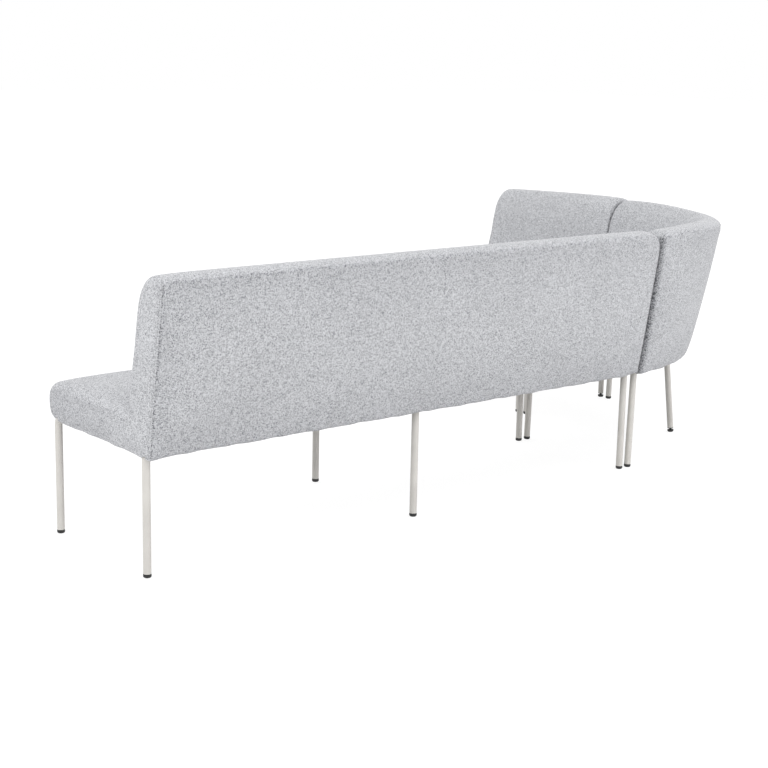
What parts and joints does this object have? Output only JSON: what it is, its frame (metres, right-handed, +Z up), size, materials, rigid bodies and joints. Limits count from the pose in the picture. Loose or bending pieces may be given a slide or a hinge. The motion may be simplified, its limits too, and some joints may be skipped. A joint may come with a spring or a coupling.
{
  "type": "banquette bench",
  "caption": "Upholstered L-shaped banquette bench: straight, quarter-round and short straight units in pale grey wool cloth on white bent-tube legs with black levelling glides.",
  "frame": {"origin": "On the floor, below the middle of the whole bench's bounding box.", "axes": "+X runs along the long unit from its free end towards the corner, +Y from the long unit's back towards its front, +Z up."},
  "size_m": [2.8174, 1.5924, 0.8171],
  "materials": {
    "wool_cloth": "matte",
    "foam": "matte",
    "plywood": "satin",
    "lining_cloth": "matte",
    "white_powder_coat": "satin",
    "black_nylon": "matte",
    "zinc_steel": "satin"
  },
  "bodies": {
    "bench": {"long_cover": "wool_cloth", "long_seat_foam": "foam", "long_back_foam": "foam", "long_seat_board": "plywood", "long_back_board": "plywood", "long_back_ribs": "plywood", "long_lining": "lining_cloth", "long_tee_nuts": "zinc_steel", "long_bolts": "zinc_steel", "long_leg_inserts": "black_nylon", "corner_cover": "wool_cloth", "corner_seat_foam": "foam", "corner_back_foam": "foam", "corner_seat_board": "plywood", "corner_back_board": "plywood", "corner_back_ribs": "plywood", "corner_lining": "lining_cloth", "corner_tee_nuts": "zinc_steel", "corner_bolts": "zinc_steel", "corner_leg_inserts": "black_nylon", "short_cover": "wool_cloth", "short_seat_foam": "foam", "short_back_foam": "foam", "short_seat_board": "plywood", "short_back_board": "plywood", "short_back_ribs": "plywood", "short_lining": "lining_cloth", "short_tee_nuts": "zinc_steel", "short_bolts": "zinc_steel", "short_leg_inserts": "black_nylon", "long_leg_frame_left": "white_powder_coat", "long_leg_frame_middle": "white_powder_coat", "long_leg_frame_right": "white_powder_coat", "corner_leg_frame_a": "white_powder_coat", "corner_leg_frame_b": "white_powder_coat", "corner_outer_leg": "white_powder_coat", "short_leg_frame_near": "white_powder_coat", "short_leg_frame_far": "white_powder_coat", "link_plate_a": "white_powder_coat", "link_plate_b": "white_powder_coat", "link_screws": "zinc_steel"},
    "glide_long_left_back_body": {"glide_long_left_back": "black_nylon"},
    "glide_long_left_front_body": {"glide_long_left_front": "black_nylon"},
    "glide_long_middle_back_body": {"glide_long_middle_back": "black_nylon"},
    "glide_long_middle_front_body": {"glide_long_middle_front": "black_nylon"},
    "glide_long_right_back_body": {"glide_long_right_back": "black_nylon"},
    "glide_long_right_front_body": {"glide_long_right_front": "black_nylon"},
    "glide_corner_a_back_body": {"glide_corner_a_back": "black_nylon"},
    "glide_corner_a_front_body": {"glide_corner_a_front": "black_nylon"},
    "glide_corner_b_back_body": {"glide_corner_b_back": "black_nylon"},
    "glide_corner_b_front_body": {"glide_corner_b_front": "black_nylon"},
    "glide_corner_outer_body": {"glide_corner_outer": "black_nylon"},
    "glide_short_near_back_body": {"glide_short_near_back": "black_nylon"},
    "glide_short_near_front_body": {"glide_short_near_front": "black_nylon"},
    "glide_short_far_back_body": {"glide_short_far_back": "black_nylon"},
    "glide_short_far_front_body": {"glide_short_far_front": "black_nylon"}
  },
  "joints": [
    {"name": "glide_long_left_back_screw", "type": "slide", "parent": "bench", "child": "glide_long_left_back_body", "axis": [0, 0, -1], "range_m": [0, 0.012]},
    {"name": "glide_long_left_front_screw", "type": "slide", "parent": "bench", "child": "glide_long_left_front_body", "axis": [0, 0, -1], "range_m": [0, 0.012]},
    {"name": "glide_long_middle_back_screw", "type": "slide", "parent": "bench", "child": "glide_long_middle_back_body", "axis": [0, 0, -1], "range_m": [0, 0.012]},
    {"name": "glide_long_middle_front_screw", "type": "slide", "parent": "bench", "child": "glide_long_middle_front_body", "axis": [0, 0, -1], "range_m": [0, 0.012]},
    {"name": "glide_long_right_back_screw", "type": "slide", "parent": "bench", "child": "glide_long_right_back_body", "axis": [0, 0, -1], "range_m": [0, 0.012]},
    {"name": "glide_long_right_front_screw", "type": "slide", "parent": "bench", "child": "glide_long_right_front_body", "axis": [0, 0, -1], "range_m": [0, 0.012]},
    {"name": "glide_corner_a_back_screw", "type": "slide", "parent": "bench", "child": "glide_corner_a_back_body", "axis": [-0.0232, 0, -0.9997], "range_m": [0, 0.012]},
    {"name": "glide_corner_a_front_screw", "type": "slide", "parent": "bench", "child": "glide_corner_a_front_body", "axis": [-0.0232, 0, -0.9997], "range_m": [0, 0.012]},
    {"name": "glide_corner_b_back_screw", "type": "slide", "parent": "bench", "child": "glide_corner_b_back_body", "axis": [0, 0.0232, -0.9997], "range_m": [0, 0.012]},
    {"name": "glide_corner_b_front_screw", "type": "slide", "parent": "bench", "child": "glide_corner_b_front_body", "axis": [0, 0.0232, -0.9997], "range_m": [0, 0.012]},
    {"name": "glide_corner_outer_screw", "type": "slide", "parent": "bench", "child": "glide_corner_outer_body", "axis": [0.0755, -0.0755, -0.9943], "range_m": [-0.0058, 0.0062]},
    {"name": "glide_short_near_back_screw", "type": "slide", "parent": "bench", "child": "glide_short_near_back_body", "axis": [0, 0, -1], "range_m": [-0.0058, 0.0062]},
    {"name": "glide_short_near_front_screw", "type": "slide", "parent": "bench", "child": "glide_short_near_front_body", "axis": [0, 0, -1], "range_m": [0, 0.012]},
    {"name": "glide_short_far_back_screw", "type": "slide", "parent": "bench", "child": "glide_short_far_back_body", "axis": [0, 0, -1], "range_m": [0, 0.012]},
    {"name": "glide_short_far_front_screw", "type": "slide", "parent": "bench", "child": "glide_short_far_front_body", "axis": [0, 0, -1], "range_m": [0, 0.012]}
  ]
}
